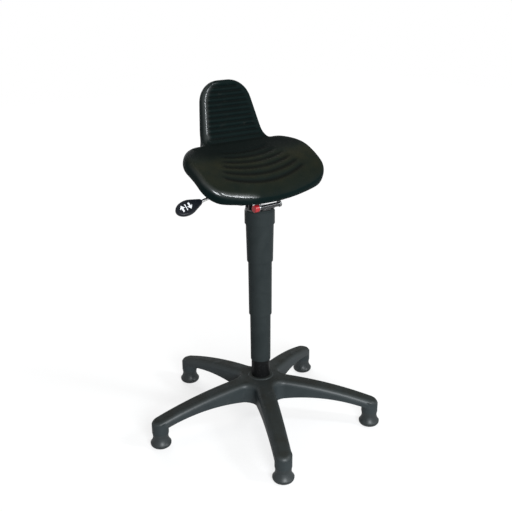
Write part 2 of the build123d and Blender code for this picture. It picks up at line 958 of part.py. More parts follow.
def make_seat_plate():
    plate = seat_block(
        plate_half_width,
        plate_front,
        plate_rear,
        boss_under - plate_thickness,
        plate_thickness,
        plate_corner,
    )
    top = boss_under - plate_thickness / 2
    pivot = (-seat_rise * sin(radians(seat_slope)), -seat_rise * cos(radians(seat_slope)))
    ear = make_face(
        Polyline(
            (plate_front, top),
            (ear_root_rear, top),
            (pivot[0] + ear_radius, pivot[1] - ear_radius / 2),
            (pivot[0] - ear_radius, pivot[1]),
            close=True,
        )
    )
    ear += Pos(*pivot) * Circle(ear_radius)
    ear -= Pos(*pivot) * Circle(pivot_shaft_radius + press_gap)
    for side in (-1, 1):
        offset = side * (ear_inner() + ear_thickness / 2)
        plate += Pos(offset, 0, 0) * extrude(Plane.YZ * ear, ear_thickness / 2, both=True)
    for place in screw_places():
        plate -= place * upright(screw_radius + free_gap / 2, -2 * plate_thickness, plate_thickness)
    return on_seat(plate)


# Height lever

def lever_path():
    height = lever_axis_height()
    return FilletPolyline(
        (lever_inner_end, 0, height),
        (-lever_straight_end, 0, height),
        (-lever_knee_out, lever_knee_back, height + lever_knee_rise),
        (-lever_tip_out, lever_tip_back, height + lever_tip_rise),
        radius=lever_bend_radius,
    )


def make_lever_rod():
    path = lever_path()
    rod = sweep(Plane(origin=path @ 0, z_dir=path % 0) * Circle(lever_rod_radius), path)
    pin_hole = Pos(-lever_pivot_offset, 0, lever_axis_height()) * Rot(90, 0, 0) * Cylinder(
        lever_pin_radius + slip_gap, 4 * lever_rod_radius
    )
    return rod - pin_hole


def paddle_plane():
    """Plane of the paddle's broad face at the rod's tip, X outwards along the rod."""
    path = lever_path()
    along = path % 1
    flat = Plane(origin=path @ 1, x_dir=along, z_dir=Vector(0, 0, 1) - along * along.Z)
    return Plane(flat.location * Rot(paddle_roll, 0, 0))


def make_lever_paddle():
    outline = make_hull(
        [
            *(Pos(paddle_root, 0) * Circle(paddle_root_radius)).edges(),
            *(Pos(paddle_middle, 0) * Ellipse(paddle_half_length, paddle_half_width)).edges(),
        ]
    )
    paddle = extrude(outline, paddle_thickness / 2, both=True)
    flats = paddle.edges().group_by(Axis.Z)
    paddle = fillet([*flats[0], *flats[-1]], paddle_edge)
    paddle = paddle_plane().location * paddle
    path = lever_path()
    bore = sweep(Plane(origin=path @ 0, z_dir=path % 0) * Circle(lever_rod_radius + press_gap), path)
    return paddle - bore


def export_node(name, shape):
    solids = shape if isinstance(shape, list) else [shape]
    parts = [solid for item in solids for solid in item.solids()]
    node = parts[0] if len(parts) == 1 else Compound(children=parts)
    node.label = name
    export_step(node, os.path.join("parts", name + ".step"))


os.makedirs("parts", exist_ok=True)

export_node("star_base", make_star_base())
export_node("hub_ring", make_hub_ring())
for number, place in enumerate(glide_places(), start=1):
    export_node(f"glide_{number}", place * make_glide())
export_node("glide_stems", [place * make_glide_stem() for place in glide_places()])

export_node("column_tube", make_column_tube())
export_node("guide_bush", make_guide_bush())
export_node("lower_race", make_lower_race())
export_node("ball_cage", make_ball_cage())
export_node("bearing_balls", make_bearing_balls())
export_node("upper_race", make_upper_race())
export_node("piston_rod", make_piston_rod())
export_node("bump_buffer", make_bump_buffer())
export_node("rod_washer", make_rod_washer())
export_node("rod_clip", make_rod_clip())
export_node("piston", make_piston())
export_node("piston_ring", make_piston_ring())
export_node("gas_cylinder", make_gas_cylinder())
export_node("rod_seal", make_rod_seal())
export_node("valve_body", make_valve_body())
export_node("release_pin", ring(0, release_pin_radius, release_pin_bottom(), release_pin_top()))

export_node("cover_lower", make_cover_lower())
export_node("cover_middle", make_cover_middle())
export_node("cover_upper", make_cover_upper())
export_node("cover_collar", make_cover_collar())

export_node("taper_socket", make_taper_socket())
export_node("tilt_bracket", make_tilt_bracket())
export_node("lever_fork", make_lever_fork())
export_node("lever_pin", make_lever_pin())
export_node("pivot_tube", make_pivot_tube())
export_node("pivot_rubbers", make_pivot_rubbers())
export_node("pivot_washers", make_pivot_washers())
export_node("pivot_shaft", make_pivot_shaft())
export_node("pivot_clip", make_pivot_clip())
export_node("pivot_cap", make_pivot_cap())

export_node("seat_plate", make_seat_plate())
export_node("seat_screws", make_seat_screws())
export_node("insert_nuts", make_insert_nuts())
export_node("seat_insert", make_seat_insert())
export_node("seat_pad", make_seat_pad())
export_node("lever_rod", make_lever_rod())
export_node("lever_paddle", make_lever_paddle())
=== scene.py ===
from math import cos, pi, radians, sqrt
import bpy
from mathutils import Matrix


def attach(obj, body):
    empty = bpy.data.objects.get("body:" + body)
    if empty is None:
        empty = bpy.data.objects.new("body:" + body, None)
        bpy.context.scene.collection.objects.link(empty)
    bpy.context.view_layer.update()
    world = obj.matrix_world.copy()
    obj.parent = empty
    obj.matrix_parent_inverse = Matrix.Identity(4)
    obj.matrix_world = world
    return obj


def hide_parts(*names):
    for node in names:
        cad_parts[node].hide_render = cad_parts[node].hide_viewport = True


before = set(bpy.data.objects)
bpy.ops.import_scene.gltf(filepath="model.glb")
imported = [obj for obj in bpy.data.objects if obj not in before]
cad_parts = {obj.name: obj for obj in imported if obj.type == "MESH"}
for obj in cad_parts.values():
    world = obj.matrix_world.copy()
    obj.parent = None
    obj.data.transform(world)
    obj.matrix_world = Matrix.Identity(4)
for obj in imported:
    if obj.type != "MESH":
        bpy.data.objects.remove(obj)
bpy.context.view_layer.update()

from types import SimpleNamespace

import bmesh
import bpy
from mathutils import Matrix, Vector

# Star base: one moulding of glass-filled nylon with five drooping hollow arms round a hub.
# The column's taper is pressed into the hub. The mould leaves a fine spark-eroded texture,
# and shoes rub pale scuffs along the tops of the arms.


def put(tree, kind, sockets=None, **options):
    """Add one node, set its options, and fill its sockets with values or with links."""
    node = tree.nodes.new(kind)
    for name, value in options.items():
        setattr(node, name, value)
    for name, value in (sockets or {}).items():
        if isinstance(value, bpy.types.NodeSocket):
            tree.links.new(value, node.inputs[name])
        else:
            node.inputs[name].default_value = value
    return node


def feed(tree, node, **values):
    """Link values that change over the surface to a node's sockets."""
    for name, value in values.items():
        tree.links.new(value, node.inputs[name.replace("_", " ")])


def sums(tree, operation, first, second):
    """Put two values together, and keep the result between nought and one."""
    return put(tree, "ShaderNodeMath", {0: first, 1: second}, operation=operation, use_clamp=True).outputs[0]


def times(tree, first, second):
    return sums(tree, "MULTIPLY", first, second)


def span(tree, value, low, high, to_low=0.0, to_high=1.0):
    """Turn the stretch of a value from low to high into another stretch."""
    reach = {0: value, 1: low, 2: high, 3: to_low, 4: to_high}
    return put(tree, "ShaderNodeMapRange", reach).outputs[0]


def tint(tree, mask, under, over):
    """Lay one colour over another where the mask is white."""
    return put(tree, "ShaderNodeMix", {0: mask, 6: under, 7: over}, data_type="RGBA").outputs[2]


def place_on(tree):
    """Where a point lies on the piece, in metres."""
    return put(tree, "ShaderNodeTexCoord").outputs["Object"]


def facing_up(tree):
    """How far the surface faces up, one where it is level and nought where it stands upright."""
    normal = put(tree, "ShaderNodeTexCoord").outputs["Normal"]
    return put(tree, "ShaderNodeSeparateXYZ", {0: normal}).outputs["Z"]


def stretch(tree, place, scale, turn=(0, 0, 0)):
    """Turn and stretch the places that a texture reads, so that it lies slanted or drawn out."""
    return put(tree, "ShaderNodeMapping", {"Vector": place, "Rotation": turn, "Scale": scale}).outputs[0]


def noise(tree, place, scale, detail, **more):
    """Soft random values, with more of the texture's own sockets where they are given."""
    sockets = {"Vector": place, "Scale": scale, "Detail": detail, **more}
    return put(tree, "ShaderNodeTexNoise", sockets).outputs[0]


def shared_effect(name, inputs, outputs):
    """Start a node group that several finishes use, with its own values in and its masks out."""
    tree = bpy.data.node_groups.new(name, "ShaderNodeTree")
    for label, value in inputs.items():
        socket = tree.interface.new_socket(label, in_out="INPUT", socket_type="NodeSocketFloat")
        socket.default_value = value
    for label in outputs:
        tree.interface.new_socket(label, in_out="OUTPUT", socket_type="NodeSocketFloat")
    return tree, put(tree, "NodeGroupInput"), put(tree, "NodeGroupOutput")


def use_effect(tree, group, **values):
    """Place a shared effect in a finish with its own values, and hand back its masks."""
    node = put(tree, "ShaderNodeGroup", node_tree=group)
    for name, value in values.items():
        node.inputs[name.replace("_", " ")].default_value = value
    return node.outputs


moulded, moulded_in, moulded_out = shared_effect(
    "moulded_texture", {"Fineness": 900.0, "Flow Size": 9.0}, ["Height", "Tone"]
)
moulded_place = place_on(moulded)
spark_size = moulded_in.outputs["Fineness"]
sparks = noise(moulded, moulded_place, spark_size, detail=3.0)
pits = put(moulded, "ShaderNodeTexVoronoi", {"Vector": moulded_place, "Scale": spark_size}).outputs["Distance"]
flow_lines = noise(moulded, moulded_place, moulded_in.outputs["Flow Size"], detail=4.0, Distortion=1.2)
feed(
    moulded,
    moulded_out,
    Height=sums(moulded, "ADD", times(moulded, sparks, 0.6), times(moulded, pits, 0.4)),
    Tone=span(moulded, flow_lines, 0.3, 0.7),
)

rubbed, rubbed_in, rubbed_out = shared_effect(
    "scuffs_dust_and_top_shade", {"Scuff Size": 60.0, "Scuff Share": 0.3}, ["Scuff", "Dust"]
)
rubbed_place = place_on(rubbed)
slanted = stretch(rubbed, rubbed_place, scale=(1, 6, 2), turn=(0.3, 0.5, 0.9))
marks = noise(rubbed, slanted, rubbed_in.outputs["Scuff Size"], detail=6.0, Roughness=0.7)
patches = noise(rubbed, rubbed_place, scale=14.0, detail=2.0)
scuffs = times(rubbed, span(rubbed, patches, 0.5, 0.68), span(rubbed, marks, 0.56, 0.68))
settled = noise(rubbed, rubbed_place, scale=35.0, detail=5.0)
# The Dust mask covers upward faces; the base's nylon uses it as painted shade on the tops of the arms.
feed(
    rubbed,
    rubbed_out,
    Scuff=times(rubbed, scuffs, rubbed_in.outputs["Scuff Share"]),
    Dust=times(rubbed, span(rubbed, facing_up(rubbed), 0.25, 1.0), span(rubbed, settled, 0.3, 0.75, 0.5, 1.0)),
)


def finish(name, **sockets):
    """Start a material with one Principled shader, its plain values set on the shader's own sockets."""
    material = bpy.data.materials.new(name)
    material.use_nodes = True
    tree = material.node_tree
    tree.nodes.clear()
    shader = put(tree, "ShaderNodeBsdfPrincipled")
    for label, value in sockets.items():
        shader.inputs[label.replace("_", " ")].default_value = value
    put(tree, "ShaderNodeOutputMaterial", {"Surface": shader.outputs["BSDF"]})
    return SimpleNamespace(material=material, tree=tree, shader=shader)


def roughen(made, height, depth, strength):
    """Feed a height through a bump into the shader, with its depth in metres."""
    bump = put(made.tree, "ShaderNodeBump", {"Height": height, "Distance": depth, "Strength": strength})
    feed(made.tree, made.shader, Normal=bump.outputs["Normal"])


def moulded_finish(name, fineness, flow, tones, gloss, **sockets):
    """Start a finish with the moulded texture, in two tones and with a gloss that follows them."""
    made = finish(name, **sockets)
    grain = use_effect(made.tree, moulded, Fineness=fineness, Flow_Size=flow)
    made.height = grain["Height"]
    made.colour = tint(made.tree, grain["Tone"], *tones)
    made.gloss = span(made.tree, grain["Tone"], 0.0, 1.0, *gloss)
    feed(made.tree, made.shader, Base_Color=made.colour, Roughness=made.gloss)
    return made


def lay_over(made, mask, colour, share=None):
    """Lay dust, scuffs or another colour over a finish where the mask is white, or a share of it."""
    mask = times(made.tree, mask, share) if share else mask
    made.colour = tint(made.tree, mask, made.colour, colour)
    feed(made.tree, made.shader, Base_Color=made.colour)


def dress(made, *names):
    """Give CAD nodes a finish."""
    for name in names:
        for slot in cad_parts[name].material_slots:
            slot.material = made.material


nylon = moulded_finish(
    "base_nylon",
    fineness=750.0,
    flow=11.0,
    tones=((0.0180, 0.0235, 0.0250, 1), (0.0260, 0.0325, 0.0345, 1)),
    gloss=(0.46, 0.56),
    Specular_IOR_Level=0.03,
    Coat_IOR=2.5,
    Coat_Roughness=0.42,
)
nylon_scuffs_and_top_shade = use_effect(nylon.tree, rubbed, Scuff_Size=45.0, Scuff_Share=0.55)
# Painted shade: this dust colour is darker than the bare nylon, so the arms' upward faces come out darker and browner.
lay_over(nylon, nylon_scuffs_and_top_shade["Dust"], share=0.7, colour=(0.0165, 0.0148, 0.0105, 1))
lay_over(nylon, nylon_scuffs_and_top_shade["Scuff"], colour=(0.07, 0.07, 0.07, 1))
nylon_up = facing_up(nylon.tree)
sheen_on_sides = span(nylon.tree, nylon_up, 0.55, 0.9, 0.1, 0.0)
none_underneath = span(nylon.tree, nylon_up, -0.3, 0.1)
feed(
    nylon.tree,
    nylon.shader,
    Roughness=sums(nylon.tree, "ADD", nylon.gloss, times(nylon.tree, nylon_scuffs_and_top_shade["Dust"], 0.3)),
    Coat_Weight=times(nylon.tree, sheen_on_sides, none_underneath),
)
roughen(nylon, nylon.height, depth=0.00015, strength=0.35)
dress(nylon, "star_base")

# Glides: five bell-shaped feet of softer grey-black plastic under the arms' ends, each on a plated
# steel stem. A plated steel ring stiffens the hub's mouth. The floor scrapes the bells' lower rims pale.

scrape_height = 0.007

bell = moulded_finish(
    "glide_plastic",
    fineness=620.0,
    flow=26.0,
    tones=((0.0150, 0.0190, 0.0200, 1), (0.0240, 0.0285, 0.0295, 1)),
    gloss=(0.44, 0.56),
    Specular_IOR_Level=0.05,
    Coat_Weight=0.1,
    Coat_IOR=2.5,
    Coat_Roughness=0.4,
)
bell_wear = use_effect(bell.tree, rubbed, Scuff_Size=110.0, Scuff_Share=0.6)
lay_over(bell, bell_wear["Dust"], share=0.25, colour=(0.035, 0.034, 0.031, 1))
above_floor = put(bell.tree, "ShaderNodeSeparateXYZ", {0: place_on(bell.tree)}).outputs["Z"]
scrape = times(bell.tree, span(bell.tree, above_floor, scrape_height, 0.0), span(bell.tree, bell.height, 0.3, 0.6))
lay_over(bell, sums(bell.tree, "MAXIMUM", bell_wear["Scuff"], scrape), colour=(0.09, 0.09, 0.088, 1))
roughen(bell, bell.height, depth=0.0002, strength=0.35)
dress(bell, "glide_1", "glide_2", "glide_3", "glide_4", "glide_5")

drawn, drawn_in, drawn_out = shared_effect(
    "drawn_steel", {"Line Size": 900.0, "Cloud Size": 40.0}, ["Lines", "Cloud"]
)
drawn_place = place_on(drawn)
along_bar = stretch(drawn, drawn_place, scale=(0.05, 1, 1))
cloud = noise(drawn, drawn_place, drawn_in.outputs["Cloud Size"], detail=5.0, Distortion=0.6)
feed(
    drawn,
    drawn_out,
    Lines=noise(drawn, along_bar, drawn_in.outputs["Line Size"], detail=3.0),
    Cloud=span(drawn, cloud, 0.3, 0.7),
)

zinc = finish("zinc_plate", Metallic=1.0)
zinc_bloom = use_effect(zinc.tree, drawn, Line_Size=1200.0, Cloud_Size=60.0)
feed(
    zinc.tree,
    zinc.shader,
    Base_Color=tint(zinc.tree, zinc_bloom["Cloud"], (0.44, 0.45, 0.47, 1), (0.6, 0.6, 0.58, 1)),
    Roughness=span(zinc.tree, zinc_bloom["Cloud"], 0.0, 1.0, 0.42, 0.28),
)
roughen(zinc, zinc_bloom["Lines"], depth=0.0001, strength=0.25)
dress(zinc, "glide_stems", "hub_ring")

# Column tube and its bearing: a black painted steel tube stands in the hub and holds a natural acetal bush,
# and a ball race on its floor lets the rod turn. The paint has a faint peel, and the sliding sleeve rubs it.

enamel = moulded_finish(
    "column_paint",
    fineness=320.0,
    flow=18.0,
    tones=((0.0035, 0.0038, 0.0040, 1), (0.0060, 0.0062, 0.0064, 1)),
    gloss=(0.36, 0.46),
    Specular_IOR_Level=0.05,
)
enamel_wear = use_effect(enamel.tree, rubbed, Scuff_Size=130.0, Scuff_Share=0.45)
lay_over(enamel, enamel_wear["Scuff"], colour=(0.09, 0.09, 0.092, 1))
roughen(enamel, enamel.height, depth=0.00008, strength=0.3)
dress(enamel, "column_tube")

acetal = moulded_finish(
    "natural_acetal",
    fineness=1100.0,
    flow=40.0,
    tones=((0.66, 0.64, 0.58, 1), (0.75, 0.74, 0.69, 1)),
    gloss=(0.35, 0.48),
    Specular_IOR_Level=0.5,
    Subsurface_Weight=0.15,
    Subsurface_Scale=0.002,
)
roughen(acetal, acetal.height, depth=0.00005, strength=0.2)
dress(acetal, "guide_bush", "ball_cage", "piston", "valve_body")

ground_steel = finish("ground_steel", Metallic=1.0)
ground_marks = use_effect(ground_steel.tree, drawn, Line_Size=2600.0, Cloud_Size=90.0)
feed(
    ground_steel.tree,
    ground_steel.shader,
    Base_Color=tint(ground_steel.tree, ground_marks["Cloud"], (0.56, 0.56, 0.57, 1), (0.68, 0.68, 0.69, 1)),
    Roughness=span(ground_steel.tree, ground_marks["Lines"], 0.3, 0.7, 0.14, 0.24),
)
roughen(ground_steel, ground_marks["Lines"], depth=0.00004, strength=0.15)
dress(ground_steel, "lower_race", "bearing_balls", "upper_race")

# Rod and piston: a ground steel rod carries the piston at its top end, with a rubber ring,
# and stands on the tube's floor with a rubber buffer, a washer and a spring clip.

rubber = moulded_finish(
    "black_rubber",
    fineness=1400.0,
    flow=60.0,
    tones=((0.009, 0.009, 0.009, 1), (0.017, 0.0168, 0.0164, 1)),
    gloss=(0.62, 0.76),
    Specular_IOR_Level=0.35,
)
lay_over(rubber, use_effect(rubber.tree, rubbed)["Dust"], share=0.3, colour=(0.06, 0.058, 0.054, 1))
roughen(rubber, rubber.height, depth=0.0001, strength=0.3)
dress(ground_steel, "piston_rod")
dress(rubber, "bump_buffer", "piston_ring")
dress(zinc, "rod_washer", "rod_clip")

# Gas cylinder: a ground steel cylinder slides in the bush, with a rubber seal round the rod at its foot
# and an acetal valve body at its head. A plated pin in the valve lets the gas through when it is pressed.

dress(ground_steel, "gas_cylinder")
dress(rubber, "rod_seal")
dress(zinc, "release_pin")

# Sleeves and collar: three thin telescoping sleeves of satin black plastic hide the column, and the top one
# ends in a wider collar under the seat. They rub on each other, which leaves faint upright lines.

sleeve = moulded_finish(
    "sleeve_plastic",
    fineness=900.0,
    flow=16.0,
    tones=((0.0190, 0.0235, 0.0240, 1), (0.0245, 0.0295, 0.0300, 1)),
    gloss=(0.38, 0.47),
    Specular_IOR_Level=0.02,
)
sleeve_wear = use_effect(sleeve.tree, rubbed, Scuff_Size=70.0, Scuff_Share=0.25)
upright = stretch(sleeve.tree, place_on(sleeve.tree), scale=(1, 1, 0.02))
rub_lines = span(sleeve.tree, noise(sleeve.tree, upright, scale=420.0, detail=2.0), 0.6, 0.75, 0.0, 0.25)
lay_over(sleeve, sums(sleeve.tree, "MAXIMUM", sleeve_wear["Scuff"], rub_lines), colour=(0.036, 0.040, 0.041, 1))
roughen(sleeve, sleeve.height, depth=0.0001, strength=0.3)
dress(sleeve, "cover_lower", "cover_middle", "cover_upper", "cover_collar")

# Seat carrier: a pressed steel bracket welded to the taper socket, with the lever's fork, a cross tube for the
# tilting pivot and two rubber sleeves in it. Black stove enamel covers the steel. Washers, clip and shaft are
# plated, and a red plastic cap closes the shaft's end on the lever side.

stove = moulded_finish(
    "stove_enamel",
    fineness=420.0,
    flow=30.0,
    tones=((0.007, 0.007, 0.0075, 1), (0.0105, 0.0105, 0.011, 1)),
    gloss=(0.26, 0.38),
    Specular_IOR_Level=0.5,
)
stove_wear = use_effect(stove.tree, rubbed, Scuff_Size=150.0, Scuff_Share=0.7)
lay_over(stove, stove_wear["Scuff"], colour=(0.16, 0.16, 0.165, 1))
roughen(stove, stove.height, depth=0.00012, strength=0.3)
dress(stove, "taper_socket", "tilt_bracket", "lever_fork", "pivot_tube")
dress(rubber, "pivot_rubbers")
dress(zinc, "lever_pin", "pivot_washers", "pivot_shaft", "pivot_clip")

red = moulded_finish(
    "red_cap",
    fineness=1300.0,
    flow=120.0,
    tones=((0.26, 0.010, 0.014, 1), (0.36, 0.018, 0.022, 1)),
    gloss=(0.22, 0.32),
    Specular_IOR_Level=0.3,
)
red_wear = use_effect(red.tree, rubbed, Scuff_Size=300.0, Scuff_Share=0.3)
lay_over(red, red_wear["Scuff"], colour=(0.46, 0.13, 0.13, 1))
roughen(red, red.height, depth=0.00005, strength=0.2)
dress(red, "pivot_cap")

# Seat plate and insert: an enamelled steel plate with two ears hangs on the pivot. Four plated screws go through it
# into nuts in a plywood board that is moulded into the seat's foam.

seat_lean = radians(22)

ply = finish("birch_ply", Specular_IOR_Level=0.3)
ply_place = stretch(ply.tree, place_on(ply.tree), scale=(1, 1, 1), turn=(-seat_lean, 0, 0))
ply_layers = put(
    ply.tree,
    "ShaderNodeTexWave",
    {"Vector": ply_place, "Scale": 210.0, "Distortion": 0.6, "Detail": 2.0},
    bands_direction="Z",
).outputs["Fac"]
ply_fibre = noise(ply.tree, stretch(ply.tree, ply_place, scale=(0.06, 1, 1)), scale=260.0, detail=6.0)
ply_colour = tint(ply.tree, ply_layers, (0.36, 0.22, 0.11, 1), (0.55, 0.38, 0.21, 1))
feed(
    ply.tree,
    ply.shader,
    Base_Color=tint(ply.tree, span(ply.tree, ply_fibre, 0.45, 0.7), ply_colour, (0.42, 0.27, 0.14, 1)),
    Roughness=span(ply.tree, ply_fibre, 0.3, 0.7, 0.6, 0.75),
)
roughen(ply, ply_fibre, depth=0.0002, strength=0.3)
dress(stove, "seat_plate")
dress(zinc, "seat_screws", "insert_nuts")
dress(ply, "seat_insert")

# Seat: one moulding of black self-skinned foam round the board, a dished pan with a rolled nose and a small back, with
# round rims and soft ribs across. The grained skin is dull. Dust lies on the open pan, and its thinning out towards
# the back is painted shade from the back. The rib valleys and the crook between pan and back are darkened with painted
# shade, and hands have rubbed the rims on the lever's side smooth and shiny.

seat_spot = (0, -0.040, 0.630)
seat_place = Matrix.Translation(seat_spot) @ Matrix.Rotation(seat_lean, 4, "X")
board_half = 0.093
board_front = 0.014
board_rear = 0.156
board_top = 0.0445
pan_half = 0.160
pan_end = 0.165
pan_to_back = (0.150, 0.175)
pan_slope = (0.55, 0.85)
top_half = 0.150
top_slope = 0.62
dish_half = 0.135
dish_front = 0.010
dish_end = 0.150
rib_start = (-0.6, -0.3)
rib_end = (-0.7, -0.4)
rib_sharpness = 1.6
pan_rib_first = 0.023
pan_rib_pitch = 0.023
pan_rib_count = 6
pan_rib_bow = 0.330
pan_rib_half_front = 0.122
pan_rib_half_rear = 0.070
pan_rib_fade = (-0.014, 0.012)
pan_rib_depth = 0.0024
back_foot = 0.150
back_inset = 0.009
back_facing = 0.1
back_slope = (0.60, 0.85)
back_root = Vector((0, 0.19749, 0.10315))
back_up = Vector((0, 0.6428, 0.7660))
back_face = Vector((0, -0.7660, 0.6428))
back_length = 0.126
back_head_radius = 0.060
back_root_half = 0.088
back_top_half = 0.067
back_rib_first = -0.034
back_rib_pitch = 0.013
back_rib_count = 12
back_rib_margin = (0.008, 0.020)
back_rib_depth = 0.0020
back_panel_margin = (0.008, 0.018)
back_panel_foot = (0.165, 0.190)
back_panel_sink = 0.0022
skin_cell = 0.002
skin_swell = 0.0006
# Where the crook between pan and back is darkened with painted shade, and how strongly.
crook_start = (0.105, 0.140)
crook_end = (0.172, 0.192)
crook_slope = (0.3, 0.7)
crook_shade_share = 0.8
# Dust on the pan thins out towards the back as painted shade from the back; where, and how far.
back_shade_fade = (0.085, 0.150)
back_shade_share = 0.9
sat_on_slope = (0.84, 0.92)
leant_on_slope = (0.80, 0.97)
leant_on_margin = (0.010, 0.020)
rim_outside = (0.2, 0.6)
rim_inside = (0.82, 0.90)
rim_facing = (-0.1, 0.3)
hand_reach = (-0.10, -0.04)
hand_reach_on_back = 0.030
hand_reach_step = (0.150, 0.190)
polish_rounds = 6


def fade(value, low, high):
    """Go softly from nought at low to one at high."""
    share = min(1.0, max(0.0, (value - low) / (high - low)))
    return share * share * (3 - 2 * share)


def rib(place, first, pitch, count):
    """Depth of the valleys between ribs, nought on a rib and one in a valley."""
    turn = (place - first) / pitch
    ends = fade(turn, *rib_start) * (1 - fade(turn, *(count + end for end in rib_end)))
    return ends * (0.5 + 0.5 * cos(2 * pi * turn)) ** rib_sharpness


def pan_row(point):
    """How far back on the pan a point lies, measured along the ribs' bow."""
    return point.y - (pan_rib_bow - sqrt(pan_rib_bow**2 - point.x**2))


def pan_valley(point):
    """Valleys of the pan's ribs, bowed forward in the middle and shorter towards the back."""
    if abs(point.x) > pan_half or point.y > pan_end:
        return 0.0
    row = pan_row(point)
    share = (row - pan_rib_first) / (pan_rib_pitch * (pan_rib_count - 1))
    half = pan_rib_half_front + (pan_rib_half_rear - pan_rib_half_front) * min(1.0, max(0.0, share))
    return rib(row, pan_rib_first, pan_rib_pitch, pan_rib_count) * (1 - fade(abs(point.x) - half, *pan_rib_fade))


def inside_back(point):
    """How far a point of the back lies inside its outline, and how high up the back it is."""
    rise = (point - back_root).dot(back_up)
    over = min(back_head_radius, max(0.0, rise - back_length + back_head_radius))
    half = back_root_half + (back_top_half - back_root_half) * rise / back_length
    reach = half - back_head_radius + sqrt(back_head_radius**2 - over**2)
    return min(reach - abs(point.x), back_length - rise), rise


def back_valley(point):
    """Valleys of the back's ribs, level across it and a margin short of its rim."""
    inside, rise = inside_back(point)
    return rib(rise, back_rib_first, back_rib_pitch, back_rib_count) * fade(inside, *back_rib_margin)


def in_board_pocket(point):
    """Whether a point lines the pocket of the board, which keeps the board's own shape."""
    return abs(point.x) < board_half and board_front < point.y < board_rear and point.z < board_top


def to_be_ribbed(vert):
    """Whether a point lies on the top of the pan, in its dish or on the face of the back."""
    point, normal = vert.co, vert.normal
    on_top = normal.z > top_slope and point.y < pan_end and abs(point.x) < top_half
    in_dish = normal.z > 0 and point.y < dish_end and abs(point.x) < dish_half and pan_row(point) > dish_front
    on_back = normal.dot(back_face) > back_facing and point.y > back_foot and inside_back(point)[0] > back_inset
    return on_top or in_dish or on_back


def rib_depth(vert):
    """How deep the valleys between the ribs are pressed in at a point, and how far the back's panel is sunk."""
    behind = fade(vert.co.y, *pan_to_back)
    on_pan = fade(vert.normal.z, *pan_slope) * (1 - behind)
    on_back = fade(vert.normal.dot(back_face), *back_slope) * behind
    deep = on_pan * pan_valley(vert.co) * pan_rib_depth + on_back * back_valley(vert.co) * back_rib_depth
    panel = fade(inside_back(vert.co)[0], *back_panel_margin) * fade(vert.co.y, *back_panel_foot)
    return deep, on_back * panel * back_panel_sink


def painted_crook_shade(vert):
    """Painted shade in the crook between pan and back, on its upward faces."""
    crook = fade(vert.co.y, *crook_start) * (1 - fade(vert.co.y, *crook_end))
    return crook_shade_share * (crook * fade(vert.normal.z, *crook_slope))


def rubbed_shiny(vert):
    """The rims on the lever's side, short of what is sat on and leant on."""
    point, normal = vert.co, vert.normal
    behind = fade(point.y, *pan_to_back)
    sat_on = fade(normal.z, *sat_on_slope) * (1 - behind)
    leant_on = fade(normal.dot(back_face), *leant_on_slope) * behind * fade(inside_back(point)[0], *leant_on_margin)
    on_rim = fade(normal.z, *rim_outside) * (1 - fade(normal.z, *rim_inside)) * (1 - max(sat_on, leant_on))
    lever_side = 1 - fade(point.x - hand_reach_on_back * fade(point.y, *hand_reach_step), *hand_reach)
    return on_rim * lever_side * fade(-normal.y, *rim_facing)


seat_shape = bmesh.new()
seat_shape.from_mesh(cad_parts["seat_pad"].data)
bmesh.ops.remove_doubles(seat_shape, verts=seat_shape.verts, dist=0.00001)
seat_mesh = bpy.data.meshes.new("seat_moulding")
seat_shape.to_mesh(seat_mesh)
seat_shape.free()
seat = bpy.data.objects.new("seat_moulding", seat_mesh)
bpy.context.scene.collection.objects.link(seat)
seat_skin = seat.modifiers.new("skin", "REMESH")
seat_skin.mode = "VOXEL"
seat_skin.voxel_size = skin_cell
seat_mesh = bpy.data.meshes.new_from_object(seat.evaluated_get(bpy.context.evaluated_depsgraph_get()))
seat.modifiers.clear()
seat.data = seat_mesh

foam = bmesh.new()
foam.from_mesh(seat_mesh)
bmesh.ops.transform(foam, matrix=seat_place.inverted(), verts=foam.verts)
rib_and_crook_shade_layer = foam.verts.layers.float.new("valley")
polish_layer = foam.verts.layers.float.new("polished")
dust_and_back_shade_layer = foam.verts.layers.float.new("dust_and_back_shade")
soft = [v for v in foam.verts if not in_board_pocket(v.co)]


def ease(verts, rounds, factor):
    """Smooth some of the skin a number of times over."""
    for _ in range(rounds):
        bmesh.ops.smooth_vert(foam, verts=verts, factor=factor, use_axis_x=True, use_axis_y=True, use_axis_z=True)
    foam.normal_update()


ease(soft, rounds=28, factor=0.5)
ease([v for v in soft if to_be_ribbed(v)], rounds=60, factor=0.5)
for vert in soft:
    deep, sunk = rib_depth(vert)
    # The valley mask darkens the rib valleys and the crook with painted shade.
    vert[rib_and_crook_shade_layer] = min(1.0, max(deep / back_rib_depth, painted_crook_shade(vert)))
    vert[polish_layer] = rubbed_shiny(vert)
    # Dust all over the pan, thinned out towards the back as painted shade.
    vert[dust_and_back_shade_layer] = 1 - back_shade_share * fade(vert.co.y, *back_shade_fade)
    vert.co += vert.normal * (skin_swell - deep - sunk)
for _ in range(polish_rounds):
    evened = [sum((e.other_vert(v)[polish_layer] for e in v.link_edges), v[polish_layer]) for v in soft]
    for vert, total in zip(soft, evened):
        vert[polish_layer] = total / (len(vert.link_edges) + 1)
ease(soft, rounds=2, factor=0.3)
bmesh.ops.transform(foam, matrix=seat_place, verts=foam.verts)
bmesh.ops.recalc_face_normals(foam, faces=foam.faces)
for face in foam.faces:
    face.smooth = True
foam.to_mesh(seat_mesh)
foam.free()

